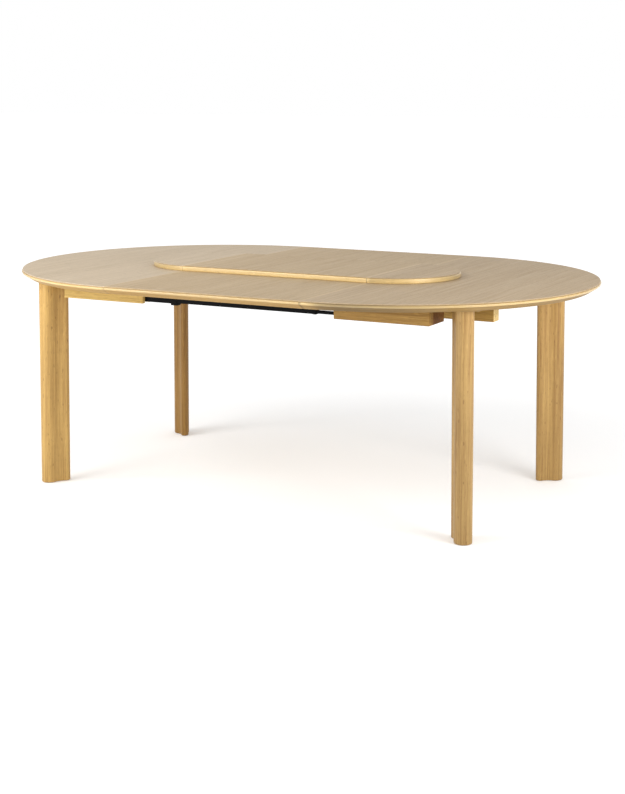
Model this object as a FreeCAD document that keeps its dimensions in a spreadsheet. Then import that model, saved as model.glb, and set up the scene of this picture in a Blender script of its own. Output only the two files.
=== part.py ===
import FreeCAD, Part
import math
import os
import Sketcher
from FreeCAD import Placement, Rotation, Vector

# Extending oval dining table: two half-round tops on two legs each, a lift-out leaf between them that sits
# on pins in the seams, and telescopic slides that join the halves.
# Millimetres. +X runs along the table, -Y is its front, +Z is up; the origin is on the floor at its centre.

SIZES = {
    # The tops
    "top_diameter": 1350,
    "leaf_length": 700,
    "top_height": 735,
    "top_thickness": 27,
    "top_nosing": 10,
    "top_chamfer": 3,
    "top_bevel": 28,
    "top_lipping": 40,
    "top_face": 3,
    "seam_gap": 0.4,
    # The raised disc in the middle of the top
    "plateau_diameter": 436,
    "plateau_thickness": 18,
    "plateau_nosing": 16,
    "plateau_chamfer": 3,
    "plateau_bevel": 2,
    "plateau_lipping": 14,
    "plateau_face": 2,
    # The legs, two lobes joined by hollow flanks
    "leg_setback": 53,
    "leg_angle": 45,
    "outer_lobe": 29,
    "inner_lobe": 15,
    "lobe_spacing": 56.5,
    "flank_radius": 40,
    "foot_taper_share": 0.97,
    "foot_chamfer": 3,
    "pad_thickness": 1.5,
    "pad_margin": 7,
    # The leg plates
    "plate_thickness": 4,
    "plate_overhang": 9,
    "plate_side": 13,
    "plate_corner": 8,
    "plate_screw_inset": 11,
    # The runner housings and the battens
    "housing_height": 56,
    "housing_gap": 12,
    "housing_inset": 8,
    "outer_wall": 14,
    "inner_wall": 72,
    "end_wall": 20,
    "channel_width": 28,
    "channel_depth": 30,
    "rail_setback": 2,
    "batten_width": 43,
    "batten_spacing": 44,
    "batten_length": 459,
    # The telescopic slides
    "slide_side_gap": 1,
    "slide_height": 24.5,
    "slide_wall": 1.5,
    "slide_gap": 0.3,
    "outer_lip": 6,
    "middle_lip": 5,
    "inner_height": 8.5,
    "outer_reach": 120,
    "slide_overlap": 74,
    "middle_length": 586,
    "guide_length": 12,
    "guide_proud": 1,
    "shoe_length": 22,
    "shoe_drop": 6,
    "shoe_chamfer": 2,
    "packer_width": 8,
    "packer_setback": 40,
    "packer_end_gap": 5,
    # The bearers under the leaf
    "bearer_width": 50,
    "bearer_spacing": 380,
    "bearer_overhang": 8,
    # The locating pins in the seams
    "pin_diameter": 8,
    "pin_reach": 12,
    "pin_depth": 25,
    "pin_clearance": 0.3,
    "pin_inset": 115,
    "pin_near": 240,
    # The screws
    "screw_shank": 4.5,
    "screw_head": 9,
    "screw_head_height": 3.5,
    "screw_bite": 12,
    "screw_clearance": 0.3,
    "rail_screw_sink": 24,
    "bearer_screw_sink": 10,
    "leg_screw_bite": 40,
    # How far a cut runs past the face that it opens
    "cut_overrun": 5,
}

# Places of the screws along a rail, as shares of its length, and across a bearer, as shares of its half.
RAIL_SCREW_SHARES = (0.2, 0.8)
SLIDE_SCREW_SHARES = (0.25, 0.75)
BEARER_SCREW_SHARES = (-0.5, 0.0, 0.5)

# Sides of the pins, the screws and their holes, and of the pads under the legs. The first corner stands off
# the X axis by a share of the turn from one corner to the next.
ROD_SIDES = 6
PAD_SIDES = 12
CORNER_SHARE = 0.25

SIDES = {"front": -1, "back": 1}
HALVES = {"left": -1, "right": 1}

doc = FreeCAD.newDocument("extending_table")
sheet = doc.addObject("Spreadsheet::Sheet", "sizes")
for row, (alias, value) in enumerate(SIZES.items(), start=1):
    sheet.set(f"A{row}", alias)
    sheet.set(f"B{row}", str(value))
    sheet.setAlias(f"B{row}", alias)
doc.recompute()


class Size:
    """A length that carries its number and the expression that the document keeps for it."""

    def __init__(self, text, number):
        self.text = text
        self.number = number

    def __add__(self, other):
        return Size(f"({self.text} + {other.text})", self.number + other.number)

    def __sub__(self, other):
        return Size(f"({self.text} - {other.text})", self.number - other.number)

    def __mul__(self, other):
        if isinstance(other, Size):
            return Size(f"({self.text} * {other.text})", self.number * other.number)
        return Size(f"({self.text} * {other})", self.number * other)

    def __truediv__(self, other):
        if isinstance(other, Size):
            return Size(f"({self.text} / {other.text})", self.number / other.number)
        return Size(f"({self.text} / {other})", self.number / other)

    def __neg__(self):
        return Size(f"(-{self.text})", -self.number)


def size(alias):
    return Size(f"sizes.{alias}", float(sheet.get(alias)))


def cosine(angle):
    return Size(f"cos({angle.text} * 1 deg)", math.cos(math.radians(angle.number)))


def sine(angle):
    return Size(f"sin({angle.text} * 1 deg)", math.sin(math.radians(angle.number)))


ZERO = Size("0", 0.0)
FULL_SHARE = Size("1", 1.0)
HALF_TURN = Size("180", 180.0)


# Helpers for bodies, sketches and features

def new_body(label):
    body = doc.addObject("PartDesign::Body", label)
    body.Label = label
    return body


def place(body, x, y, z, turn):
    spin = Rotation(Vector(0, 0, 1), turn.number)
    body.Placement = Placement(Vector(x.number, y.number, z.number), spin)
    for axis, length in (("x", x), ("y", y), ("z", z)):
        body.setExpression(f"Placement.Base.{axis}", length.text)
    body.setExpression("Placement.Rotation.Angle", turn.text)


def new_sketch(body, role, offset=ZERO):
    plane = next(item for item in body.Origin.OriginFeatures if item.Role == role)
    sketch = body.newObject("Sketcher::SketchObject", f"{body.Name}_sketch")
    sketch.AttachmentSupport = (plane, [""])
    sketch.MapMode = "FlatFace"
    sketch.AttachmentOffset = Placement(Vector(0, 0, offset.number), Rotation())
    sketch.setExpression("AttachmentOffset.Base.z", offset.text)
    return sketch


def limit(sketch, limits):
    """Add constraints to a sketch, each bound to its length."""
    indices = sketch.addConstraint([constraint for constraint, length in limits])
    for index, (constraint, length) in zip(indices, limits):
        if length is not ZERO:
            sketch.setExpression(f"Constraints[{index}]", length.text)


def pinned(geometry, end, x, y):
    """The two constraints that hold a point at its place."""
    across = Sketcher.Constraint("DistanceX", -1, 1, geometry, end, x.number)
    along = Sketcher.Constraint("DistanceY", -1, 1, geometry, end, y.number)
    return [(across, x), (along, y)]


def outline(sketch, points):
    """Draw a closed loop of straight lines through the points."""
    first = sketch.GeometryCount
    corners = [Vector(x.number, y.number, 0) for x, y in points]
    ends = corners[1:] + corners[:1]
    sketch.addGeometry([Part.LineSegment(*pair) for pair in zip(corners, ends)], False)
    joins = []
    limits = []
    for index, (x, y) in enumerate(points):
        following = first + (index + 1) % len(points)
        joins.append(Sketcher.Constraint("Coincident", first + index, 2, following, 1))
        limits += pinned(first + index, 1, x, y)
    sketch.addConstraint(joins)
    limit(sketch, limits)


def rectangle(sketch, low_x, high_x, low_y, high_y):
    outline(sketch, [(low_x, low_y), (high_x, low_y), (high_x, high_y), (low_x, high_y)])


def rod(sketch, x, y, radius, sides=ROD_SIDES):
    """Draw a rod's section, a polygon whose corners lie on its radius."""
    turns = [2 * math.pi * (index + CORNER_SHARE) / sides for index in range(sides)]
    outline(sketch, [(x + radius * math.cos(turn), y + radius * math.sin(turn)) for turn in turns])


def hole(sketch, x, y, radius):
    """Draw a hole whose flats lie on its radius, so that a rod fits at any turn."""
    rod(sketch, x, y, radius / math.cos(math.pi / ROD_SIDES))


def pad(body, sketch, length):
    feature = body.newObject("PartDesign::Pad", f"{body.Name}_pad")
    feature.Profile = sketch
    feature.setExpression("Length", length.text)


def pocket(body, sketch, depth):
    """Cut along the sketch's normal and make sure that something was cut."""
    doc.recompute()
    before = body.Shape.Volume
    feature = body.newObject("PartDesign::Pocket", f"{body.Name}_pocket")
    feature.Profile = sketch
    feature.Reversed = True
    feature.setExpression("Length", depth.text)
    doc.recompute()
    if body.Shape.Volume >= before:
        raise RuntimeError(f"the pocket in {body.Label} cuts nothing")


def half_turn(body, sketch):
    """Revolve the sketch about the vertical axis, a quarter turn to each side of +X."""
    feature = body.newObject("PartDesign::Revolution", f"{body.Name}_turn")
    feature.Profile = sketch
    feature.ReferenceAxis = (sketch, ["V_Axis"])
    feature.Angle = HALF_TURN.number
    feature.Midplane = True


# Levels and places that several sub-parts share

top_radius = size("top_diameter") / 2
leaf_half = size("leaf_length") / 2
leaf_end = leaf_half - size("seam_gap")
underside = size("top_height") - size("top_thickness")
overrun = size("cut_overrun")

leg_depth = size("lobe_spacing") + size("outer_lobe") + size("inner_lobe")
leg_reach = top_radius - size("leg_setback") - size("outer_lobe")
leg_middle = leg_reach - size("lobe_spacing") / 2
leg_length = underside - size("plate_thickness") - size("pad_thickness")
leg_cosine = cosine(size("leg_angle"))
leg_sine = sine(size("leg_angle"))

plate_length = leg_depth + size("plate_overhang") * 2
plate_width = (size("outer_lobe") + size("plate_side")) * 2
plate_shift = (size("outer_lobe") - size("inner_lobe")) / 2
plate_near_end = leg_middle + plate_shift - plate_length / 2
plate_corner_x = plate_near_end * leg_cosine - plate_width / 2 * leg_sine
plate_corner_y = plate_near_end * leg_sine - plate_width / 2 * leg_cosine

rail_bottom = underside - size("housing_height")
rail_start = size("rail_setback")
housing_end = plate_corner_x - size("housing_gap")
housing_inside = plate_corner_y + size("housing_inset")
channel_inside = housing_inside + size("inner_wall")
channel_outside = channel_inside + size("channel_width")
housing_outside = channel_outside + size("outer_wall")
channel_end = housing_end - size("end_wall")
channel_roof = rail_bottom + size("channel_depth")
batten_outside = plate_corner_y - size("batten_spacing")
batten_inside = batten_outside - size("batten_width")
batten_end = rail_start + size("batten_length")

slide_line = (channel_inside + channel_outside) / 2
wall = size("slide_wall")
slide_gap = size("slide_gap")
nest = wall + slide_gap
outer_half = size("channel_width") / 2 - size("slide_side_gap")
outer_bottom = channel_roof - size("slide_height")
middle_half = outer_half - nest
middle_bottom = outer_bottom + nest
middle_top = channel_roof - nest
inner_half = middle_half - nest
inner_bottom = middle_bottom + nest
inner_top = inner_bottom + size("inner_height")
packer_half = size("packer_width") / 2
outer_end = -leaf_half + size("outer_reach")
middle_start = outer_end - size("slide_overlap")
middle_end = middle_start + size("middle_length")
inner_start = middle_end - size("slide_overlap")

bearer_bottom = channel_roof + slide_gap
bearer_half = slide_line + outer_half + size("bearer_overhang")

pin_radius = size("pin_diameter") / 2
pin_level = underside + (size("top_thickness") - size("top_face")) / 2
pin_bore = pin_radius + size("pin_clearance")
pin_far = top_radius - size("top_lipping") - size("pin_inset")

shank_radius = size("screw_shank") / 2
head_radius = size("screw_head") / 2
shank_hole = shank_radius + size("screw_clearance")
head_hole = head_radius + size("screw_clearance")


# Tops, plateau and their solid lippings

def edge_profile(sketch, kind, outer, top):
    """Draw a lipping's section: nosing, under-bevel and the step that takes the veneered face."""
    bottom = top - size(f"{kind}_thickness")
    core = outer - size(f"{kind}_lipping")
    corner = size(f"{kind}_chamfer")
    face_bottom = top - size(f"{kind}_face")
    outline(sketch, [(core, bottom), (outer - size(f"{kind}_bevel"), bottom),
                     (outer, top - size(f"{kind}_nosing")), (outer, top - corner), (outer - corner, top),
                     (outer - corner, face_bottom), (core, face_bottom)])


def half_lipping(label, kind, outer, top):
    body = new_body(label)
    sketch = new_sketch(body, "XZ_Plane")
    edge_profile(sketch, kind, outer, top)
    half_turn(body, sketch)
    return body


def half_panel(label, kind, outer, top):
    body = new_body(label)
    bottom = top - size(f"{kind}_thickness")
    core = outer - size(f"{kind}_lipping")
    face = outer - size(f"{kind}_chamfer")
    face_bottom = top - size(f"{kind}_face")
    sketch = new_sketch(body, "XZ_Plane")
    outline(sketch, [(ZERO, bottom), (core, bottom), (core, face_bottom), (face, face_bottom), (face, top),
                     (ZERO, top)])
    half_turn(body, sketch)
    return body


def leaf_lipping(label, kind, outer, top):
    body = new_body(label)
    sketch = new_sketch(body, "YZ_Plane", -leaf_end)
    edge_profile(sketch, kind, outer, top)
    pad(body, sketch, leaf_end * 2)
    return body


def leaf_panel(label, kind, outer, top):
    body = new_body(label)
    bottom = top - size(f"{kind}_thickness")
    core = outer - size(f"{kind}_lipping")
    face = outer - size(f"{kind}_chamfer")
    face_bottom = top - size(f"{kind}_face")
    sketch = new_sketch(body, "YZ_Plane", -leaf_end)
    outline(sketch, [(-core, bottom), (core, bottom), (core, face_bottom), (face, face_bottom), (face, top),
                     (-face, top), (-face, face_bottom), (-core, face_bottom)])
    pad(body, sketch, leaf_end * 2)
    return body


def bore_seam(body):
    """Bore a half's seam face for its own two pins and for the two that face it when the table is closed."""
    sketch = new_sketch(body, "YZ_Plane")
    rod(sketch, pin_far, pin_level, pin_radius)
    rod(sketch, -size("pin_near"), pin_level, pin_radius)
    hole(sketch, -pin_far, pin_level, pin_bore)
    hole(sketch, size("pin_near"), pin_level, pin_bore)
    pocket(body, sketch, size("pin_depth"))


def slot_leaf(body):
    """Slot the leaf's ends from below, so that it lifts straight off the pins."""
    depth = size("pin_reach") + size("pin_clearance")
    sketch = new_sketch(body, "XY_Plane", underside)
    for sign in HALVES.values():
        for y in (pin_far * sign, -size("pin_near") * sign):
            inside = (leaf_end - depth) * sign
            outside = (leaf_end + overrun) * sign
            rectangle(sketch, inside, outside, y - pin_bore, y + pin_bore)
    pocket(body, sketch, pin_level + pin_bore - underside)


def locating_pins(label):
    body = new_body(label)
    sketch = new_sketch(body, "YZ_Plane", -size("pin_reach"))
    rod(sketch, pin_far, pin_level, pin_radius)
    rod(sketch, -size("pin_near"), pin_level, pin_radius)
    pad(body, sketch, size("pin_reach") + size("pin_depth"))
    return body


# Screws, legs and their plates

def screws(label, groups):
    """Make one node of separate screws, from groups that give their places, heads and shanks."""
    body = new_body(label)
    for places, head_base, head_height, shank_base, shank_length in groups:
        heads = new_sketch(body, "XY_Plane", head_base)
        shanks = new_sketch(body, "XY_Plane", shank_base)
        for x, y in places:
            rod(heads, x, y, head_radius)
            rod(shanks, x, y, shank_radius)
        pad(body, heads, head_height)
        pad(body, shanks, shank_length)
    return body


def upward_screws(places, seat):
    """Screws driven up into the top from a seat below it."""
    height = size("screw_head_height")
    return places, seat - height, height, seat, underside - seat + size("screw_bite")


def around_leg(along, across, side):
    """Turn a place in a leg's own frame, along its long axis and across it, into its half's frame."""
    radius = leg_middle + along
    x = radius * leg_cosine - across * leg_sine * side
    y = radius * leg_sine * side + across * leg_cosine
    return x, y


def lobed_section(sketch, share, inset):
    """Draw a leg's section, drawn in by inset: two lobes on the X axis and hollow flanks tangent to both."""
    outer = size("outer_lobe") * share - inset
    inner = size("inner_lobe") * share - inset
    spacing = size("lobe_spacing") * share
    flank = size("flank_radius") * share + inset
    to_outer = (flank + outer).number
    to_inner = (flank + inner).number
    half = spacing.number / 2
    flank_x = (to_inner ** 2 - to_outer ** 2) / (4 * half)
    flank_y = math.sqrt(to_outer ** 2 - (flank_x - half) ** 2)
    outer_turn = math.atan2(flank_y, flank_x - half)
    inner_turn = math.atan2(flank_y, flank_x + half)
    arcs = [
        (half, 0, outer, -outer_turn, outer_turn),
        (flank_x, flank_y, flank, inner_turn - math.pi, outer_turn - math.pi),
        (-half, 0, inner, inner_turn, 2 * math.pi - inner_turn),
        (flank_x, -flank_y, flank, math.pi - outer_turn, math.pi - inner_turn),
    ]
    for x, y, radius, start, end in arcs:
        turn = Part.Circle(Vector(x, y, 0), Vector(0, 0, 1), radius.number)
        sketch.addGeometry(Part.ArcOfCircle(turn, min(start, end), max(start, end)), False)
    for first, first_end, second, second_end in ((0, 2, 1, 2), (1, 1, 2, 1), (2, 2, 3, 2), (3, 1, 0, 1)):
        sketch.addConstraint(Sketcher.Constraint("Tangent", first, first_end, second, second_end))
    limits = pinned(0, 3, spacing / 2, ZERO) + pinned(2, 3, -spacing / 2, ZERO)
    for index, (x, y, radius, start, end) in enumerate(arcs):
        limits.append((Sketcher.Constraint("Radius", index, radius.number), radius))
    limit(sketch, limits)


def leg(label):
    """Loft the leg from its foot, whose edge is chamfered, up to its wider head."""
    body = new_body(label)
    taper = size("foot_taper_share")
    corner = size("foot_chamfer")
    sections = []
    for level, share, inset in ((ZERO, taper, corner), (corner, taper, ZERO), (leg_length, FULL_SHARE, ZERO)):
        sections.append(new_sketch(body, "XY_Plane", level))
        lobed_section(sections[-1], share, inset)
    loft = body.newObject("PartDesign::AdditiveLoft", f"{body.Name}_loft")
    loft.Profile = sections[0]
    loft.Sections = sections[1:]
    loft.Ruled = True
    return body


def plate_screw_places():
    """The four corners of a leg plate, in the leg's own frame."""
    along = plate_length / 2 - size("plate_screw_inset")
    across = plate_width / 2 - size("plate_screw_inset")
    return [(plate_shift + along * a, across * b) for a in (-1, 1) for b in (-1, 1)]


def leg_screw_places():
    """The middles of a leg's two lobes, in the leg's own frame."""
    return [(size("lobe_spacing") / 2, ZERO), (-size("lobe_spacing") / 2, ZERO)]


def leg_plate(label):
    """A plate with clipped corners, a hole in each for a screw and two holes for the leg's own screws."""
    body = new_body(label)
    sketch = new_sketch(body, "XY_Plane")
    low = plate_shift - plate_length / 2
    high = plate_shift + plate_length / 2
    side = plate_width / 2
    clip = size("plate_corner")
    outline(sketch, [(low + clip, -side), (high - clip, -side), (high, clip - side), (high, side - clip),
                     (high - clip, side), (low + clip, side), (low, side - clip), (low, clip - side)])
    for along, across in plate_screw_places():
        hole(sketch, along, across, shank_hole)
    for along, across in leg_screw_places():
        hole(sketch, along, across, head_hole)
    pad(body, sketch, size("plate_thickness"))
    return body


def leg_screws(label):
    """The plate's screws into the top, and the ones that hang in the plate and run down into the leg."""
    to_top = []
    to_leg = []
    for side in SIDES.values():
        to_top += [around_leg(along, across, side) for along, across in plate_screw_places()]
        to_leg += [around_leg(along, across, side) for along, across in leg_screw_places()]
    plate_bottom = underside - size("plate_thickness")
    bite = size("leg_screw_bite")
    downward = (to_leg, plate_bottom, size("plate_thickness"), plate_bottom - bite, bite)
    return screws(label, [upward_screws(to_top, plate_bottom), downward])


def foot_pads(label):
    body = new_body(label)
    share = size("foot_taper_share")
    sketch = new_sketch(body, "XY_Plane")
    for side in SIDES.values():
        for lobe, sign in (("outer_lobe", 1), ("inner_lobe", -1)):
            x, y = around_leg(size("lobe_spacing") * share / 2 * sign, ZERO, side)
            rod(sketch, x, y, size(lobe) * share - size("pad_margin"), PAD_SIDES)
    pad(body, sketch, size("pad_thickness"))
    return body


# Runner housings, battens and bearers

def rail_screw_places(y, length):
    return [(rail_start + length * share, y) for share in RAIL_SCREW_SHARES]


def sink_screws(body, places, bottom, sink, height):
    """Counterbore a piece for its screws' heads from below and drill on through for their shanks."""
    for radius, depth in ((head_hole, sink), (shank_hole, height)):
        sketch = new_sketch(body, "XY_Plane", bottom)
        for x, y in places:
            hole(sketch, x, y, radius)
        pocket(body, sketch, depth)


def housing_screw_places(side):
    return rail_screw_places((housing_inside + channel_inside) / 2 * side, housing_end - rail_start)


def batten_screw_places(side):
    return rail_screw_places((batten_inside + batten_outside) / 2 * side, size("batten_length"))


def runner_housing(label, side):
    body = new_body(label)
    block = new_sketch(body, "XY_Plane", rail_bottom)
    rectangle(block, rail_start, housing_end, housing_inside * side, housing_outside * side)
    pad(body, block, size("housing_height"))
    channel = new_sketch(body, "XY_Plane", rail_bottom)
    rectangle(channel, rail_start - overrun, channel_end, channel_inside * side, channel_outside * side)
    pocket(body, channel, size("channel_depth"))
    places = housing_screw_places(side)
    sink_screws(body, places, rail_bottom, size("rail_screw_sink"), size("housing_height"))
    return body


def batten(label, side):
    body = new_body(label)
    sketch = new_sketch(body, "XY_Plane", rail_bottom)
    rectangle(sketch, rail_start, batten_end, batten_inside * side, batten_outside * side)
    pad(body, sketch, size("housing_height"))
    places = batten_screw_places(side)
    sink_screws(body, places, rail_bottom, size("rail_screw_sink"), size("housing_height"))
    return body


def rail_screws(label):
    places = []
    for side in SIDES.values():
        places += housing_screw_places(side) + batten_screw_places(side)
    return screws(label, [upward_screws(places, rail_bottom + size("rail_screw_sink"))])


def bearer_screw_places(sign):
    return [(size("bearer_spacing") / 2 * sign, bearer_half * share) for share in BEARER_SCREW_SHARES]


def leaf_bearer(label, sign):
    body = new_body(label)
    middle = size("bearer_spacing") / 2 * sign
    half = size("bearer_width") / 2
    height = underside - bearer_bottom
    sketch = new_sketch(body, "XY_Plane", bearer_bottom)
    rectangle(sketch, middle - half, middle + half, -bearer_half, bearer_half)
    pad(body, sketch, height)
    sink_screws(body, bearer_screw_places(sign), bearer_bottom, size("bearer_screw_sink"), height)
    return body


# Telescopic slides

def slide_outer(label):
    """A channel that opens downward, with lips that carry the middle member."""
    body = new_body(label)
    sketch = new_sketch(body, "YZ_Plane", -leaf_half - channel_end + size("packer_end_gap"))
    lip = outer_half - size("outer_lip")
    cheek = outer_half - wall
    lip_top = outer_bottom + wall
    web = channel_roof - wall
    outline(sketch, [(-outer_half, outer_bottom), (-lip, outer_bottom), (-lip, lip_top), (-cheek, lip_top),
                     (-cheek, web), (cheek, web), (cheek, lip_top), (lip, lip_top), (lip, outer_bottom),
                     (outer_half, outer_bottom), (outer_half, channel_roof), (-outer_half, channel_roof)])
    pad(body, sketch, outer_end + leaf_half + channel_end - size("packer_end_gap"))
    holes = new_sketch(body, "XY_Plane", web)
    for x in outer_screw_lines():
        hole(holes, x, ZERO, shank_hole)
    pocket(body, holes, wall)
    return body


def outer_screw_lines():
    return [-leaf_half - channel_end * share for share in SLIDE_SCREW_SHARES]


def slide_stop(label):
    """The stop shoe under the outer member's free end."""
    body = new_body(label)
    sketch = new_sketch(body, "YZ_Plane", outer_end - size("shoe_length"))
    bottom = outer_bottom - size("shoe_drop")
    corner = size("shoe_chamfer")
    foot = outer_half - corner
    outline(sketch, [(-foot, bottom), (foot, bottom), (outer_half, bottom + corner),
                     (outer_half, outer_bottom), (-outer_half, outer_bottom), (-outer_half, bottom + corner)])
    pad(body, sketch, size("shoe_length"))
    return body


def slide_middle(label):
    """A channel that opens upward inside the outer one, so that the inner member's packer can pass."""
    body = new_body(label)
    sketch = new_sketch(body, "YZ_Plane", middle_start)
    lip = middle_half - size("middle_lip")
    cheek = middle_half - wall
    floor = middle_bottom + wall
    lip_bottom = middle_top - wall
    outline(sketch, [(-middle_half, middle_bottom), (middle_half, middle_bottom), (middle_half, middle_top),
                     (lip, middle_top), (lip, lip_bottom), (cheek, lip_bottom), (cheek, floor),
                     (-cheek, floor), (-cheek, lip_bottom), (-lip, lip_bottom), (-lip, middle_top),
                     (-middle_half, middle_top)])
    pad(body, sketch, middle_end - size("guide_length") - middle_start)
    return body


def slide_guide(label):
    """The guide block on the middle member's end, which the inner member and its packer run through."""
    body = new_body(label)
    sketch = new_sketch(body, "YZ_Plane", middle_end - size("guide_length"))
    half = middle_half + size("guide_proud")
    bottom = middle_bottom - size("guide_proud")
    top = middle_top + size("guide_proud")
    way = inner_half + slide_gap
    way_bottom = inner_bottom - slide_gap
    way_top = inner_top + slide_gap
    slot = middle_half - size("middle_lip")
    outline(sketch, [(-half, bottom), (half, bottom), (half, top), (slot, top), (slot, way_top),
                     (way, way_top), (way, way_bottom), (-way, way_bottom), (-way, way_top), (-slot, way_top),
                     (-slot, top), (-half, top)])
    pad(body, sketch, size("guide_length"))
    return body


def slide_inner(label):
    """The low channel that rides in the middle member and runs on into the other half's housing."""
    body = new_body(label)
    end = leaf_half + channel_end - size("packer_end_gap")
    sketch = new_sketch(body, "YZ_Plane", inner_start)
    cheek = inner_half - wall
    floor = inner_bottom + wall
    outline(sketch, [(-inner_half, inner_bottom), (inner_half, inner_bottom), (inner_half, inner_top),
                     (cheek, inner_top), (cheek, floor), (-cheek, floor), (-cheek, inner_top),
                     (-inner_half, inner_top)])
    pad(body, sketch, end - inner_start)
    holes = new_sketch(body, "XY_Plane", inner_bottom)
    for x in packer_screw_lines():
        hole(holes, x, ZERO, head_hole)
    pocket(body, holes, wall)
    return body


def packer_ends():
    start = leaf_half + size("packer_setback")
    return start, leaf_half + channel_end - size("packer_end_gap")


def packer_screw_lines():
    start, end = packer_ends()
    return [start + (end - start) * share for share in SLIDE_SCREW_SHARES]


def slide_packer(label):
    """The packer between the inner member and the roof of the housing's channel."""
    body = new_body(label)
    start, end = packer_ends()
    sketch = new_sketch(body, "YZ_Plane", start)
    rectangle(sketch, -packer_half, packer_half, inner_bottom + wall, channel_roof)
    pad(body, sketch, end - start)
    return body


def outer_screws(label):
    """Screws from inside the outer members, up into the roofs of their housings."""
    places = [(x, slide_line * side) for side in SIDES.values() for x in outer_screw_lines()]
    height = size("screw_head_height")
    bite = wall + size("screw_bite")
    seat = channel_roof - wall
    return screws(label, [(places, seat - height, height, seat, bite)])


def inner_screws(label):
    """Screws flush in the floors of the inner members, up through their packers."""
    places = [(x, slide_line * side) for side in SIDES.values() for x in packer_screw_lines()]
    shank_base = inner_bottom + wall
    bite = channel_roof - shank_base + size("screw_bite")
    return screws(label, [(places, inner_bottom, wall, shank_base, bite)])


# The assembly

plateau_radius = size("plateau_diameter") / 2
plateau_top = size("top_height") + size("plateau_thickness")
TOPS = (("top", top_radius, size("top_height")), ("plateau", plateau_radius, plateau_top))
parts = []


def add(body, x=ZERO, y=ZERO, z=ZERO, turn=ZERO):
    place(body, x, y, z, turn)
    parts.append(body)


def in_half(body, name):
    """Place a sub-part that was drawn in a half's own frame, with +X away from the seam."""
    sign = HALVES[name]
    add(body, leaf_half * sign, turn=ZERO if sign > 0 else HALF_TURN)


for half, sign in HALVES.items():
    for kind, radius, level in TOPS:
        panel = half_panel(f"{kind}_{half}_panel", kind, radius, level)
        if kind == "top":
            bore_seam(panel)
        in_half(panel, half)
        in_half(half_lipping(f"{kind}_{half}_lipping", kind, radius, level), half)
    in_half(locating_pins(f"locating_pins_{half}"), half)
    in_half(leg_screws(f"leg_screws_{half}"), half)
    in_half(foot_pads(f"foot_pads_{half}"), half)
    in_half(rail_screws(f"rail_screws_{half}"), half)
    for name, side in SIDES.items():
        in_half(runner_housing(f"runner_housing_{name}_{half}", side * sign), half)
        in_half(batten(f"batten_{name}_{half}", side * sign), half)
        x = (leaf_half + leg_middle * leg_cosine) * sign
        y = leg_middle * leg_sine * side
        turn = size("leg_angle") * side if sign > 0 else HALF_TURN - size("leg_angle") * side
        add(leg(f"leg_{name}_{half}"), x, y, size("pad_thickness"), turn)
        add(leg_plate(f"leg_plate_{name}_{half}"), x, y, underside - size("plate_thickness"), turn)

for name, side in SIDES.items():
    for member, build in (("outer", slide_outer), ("stop", slide_stop), ("middle", slide_middle),
                          ("guide", slide_guide), ("inner", slide_inner), ("packer", slide_packer)):
        add(build(f"slide_{name}_{member}"), y=slide_line * side)
add(outer_screws("slide_screws_left"))
add(inner_screws("slide_screws_right"))

for kind, radius, level in TOPS:
    prefix = "leaf" if kind == "top" else "plateau_leaf"
    panel = leaf_panel(f"{prefix}_panel", kind, radius, level)
    if kind == "top":
        slot_leaf(panel)
    add(panel)
    for name, side in SIDES.items():
        strip = leaf_lipping(f"{prefix}_lipping_{name}", kind, radius, level)
        add(strip, turn=ZERO if side > 0 else HALF_TURN)
for half, sign in HALVES.items():
    add(leaf_bearer(f"leaf_bearer_{half}", sign))
bearer_places = bearer_screw_places(-1) + bearer_screw_places(1)
bearer_seat = bearer_bottom + size("bearer_screw_sink")
add(screws("leaf_bearer_screws", [upward_screws(bearer_places, bearer_seat)]))

doc.recompute()
for item in doc.Objects:
    if "Invalid" in item.State or "Error" in item.State:
        raise RuntimeError(f"{item.Label} failed: {item.State}")
for body in parts:
    if body.Shape.isNull() or not body.Shape.isValid():
        raise RuntimeError(f"{body.Label} has no valid shape")

os.makedirs("parts", exist_ok=True)
for body in parts:
    body.Shape.exportStep(f"parts/{body.Label}.step")
print(f"{len(parts)} sub-parts written")
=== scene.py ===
"""Dress the extending oval table: smooth solid-wood pieces, materials, light and camera."""
import math

import bmesh
import bpy
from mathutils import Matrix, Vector


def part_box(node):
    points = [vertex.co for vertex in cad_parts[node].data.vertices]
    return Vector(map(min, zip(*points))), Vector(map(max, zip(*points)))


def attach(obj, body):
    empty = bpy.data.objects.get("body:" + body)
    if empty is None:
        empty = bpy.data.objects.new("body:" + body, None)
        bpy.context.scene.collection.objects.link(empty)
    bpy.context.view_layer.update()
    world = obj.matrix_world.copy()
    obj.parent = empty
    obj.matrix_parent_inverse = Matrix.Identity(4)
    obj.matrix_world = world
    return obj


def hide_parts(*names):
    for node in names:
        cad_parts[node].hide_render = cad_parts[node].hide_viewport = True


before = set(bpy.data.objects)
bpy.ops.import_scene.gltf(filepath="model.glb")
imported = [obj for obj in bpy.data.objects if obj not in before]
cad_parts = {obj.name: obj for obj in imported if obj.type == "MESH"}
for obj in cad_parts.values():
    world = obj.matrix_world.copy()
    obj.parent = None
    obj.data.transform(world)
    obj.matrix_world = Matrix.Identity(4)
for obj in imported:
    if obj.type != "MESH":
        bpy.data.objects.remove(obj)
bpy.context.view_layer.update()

# Sizes in metres, read from the frame where it has them
HALVES = {"left": -1, "right": 1}
SIDES = {"front": -1, "back": 1}
top_low, top_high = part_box("top_right_lipping")
disc_low, disc_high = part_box("plateau_right_lipping")
SEAM = top_low.x
LEAF_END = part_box("leaf_panel")[1].x
TOP = {
    "rim": top_high.x - SEAM, "core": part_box("leaf_lipping_back")[0].y,
    "high": top_high.z, "low": top_low.z, "face": 0.003,
    "nosing": 0.010, "bevel": 0.028, "upper_round": 0.003, "lower_round": 0.006, "foot_round": 0.002,
}
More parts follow.
